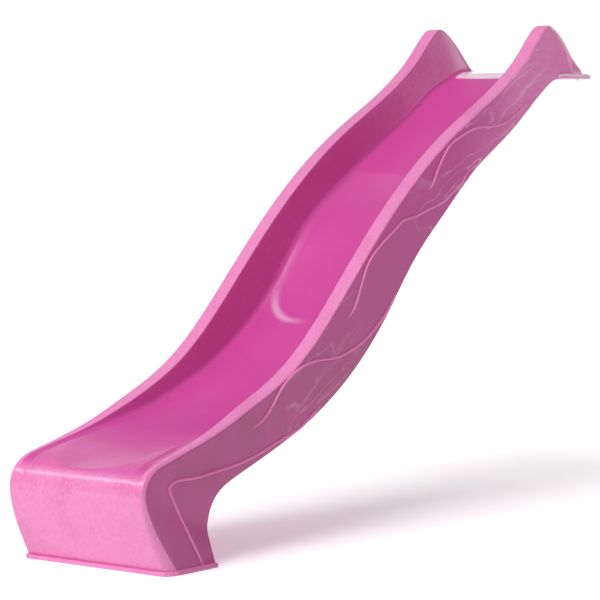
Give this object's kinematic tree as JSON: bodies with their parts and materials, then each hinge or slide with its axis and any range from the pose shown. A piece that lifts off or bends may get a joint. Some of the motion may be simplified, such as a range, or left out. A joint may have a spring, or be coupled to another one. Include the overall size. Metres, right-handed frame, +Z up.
{
  "type": "wave slide",
  "caption": "Straight two-wave playground slide: hollow moulded chute with peaked side walls, a deck flange at the top and a box foot with ground anchors.",
  "frame": {"origin": "on the ground under the middle of the foot", "axes": "+Z up, the chute runs down towards -Y (exit) from the deck flange at +Y, +X is the right-hand side seen from the exit"},
  "size_m": [0.586, 2.4444, 1.6551],
  "materials": {
    "pink_polyethylene": "satin to semi-gloss moulded polyethylene, coloured all through",
    "zinc_steel": "zinc-plated steel fixings"
  },
  "bodies": {
    "root": {"slide_body": "pink_polyethylene", "deck_screw_left": "zinc_steel", "deck_screw_right": "zinc_steel", "deck_washer_left": "zinc_steel", "deck_washer_right": "zinc_steel", "deck_screw_cap_left": "pink_polyethylene", "deck_screw_cap_right": "pink_polyethylene", "ground_anchor_left": "zinc_steel", "ground_anchor_right": "zinc_steel", "anchor_bolt_left": "zinc_steel", "anchor_bolt_right": "zinc_steel", "anchor_washer_left": "zinc_steel", "anchor_washer_right": "zinc_steel", "anchor_insert_left": "zinc_steel", "anchor_insert_right": "zinc_steel", "blow_hole_plug": "pink_polyethylene"}
  },
  "joints": []
}
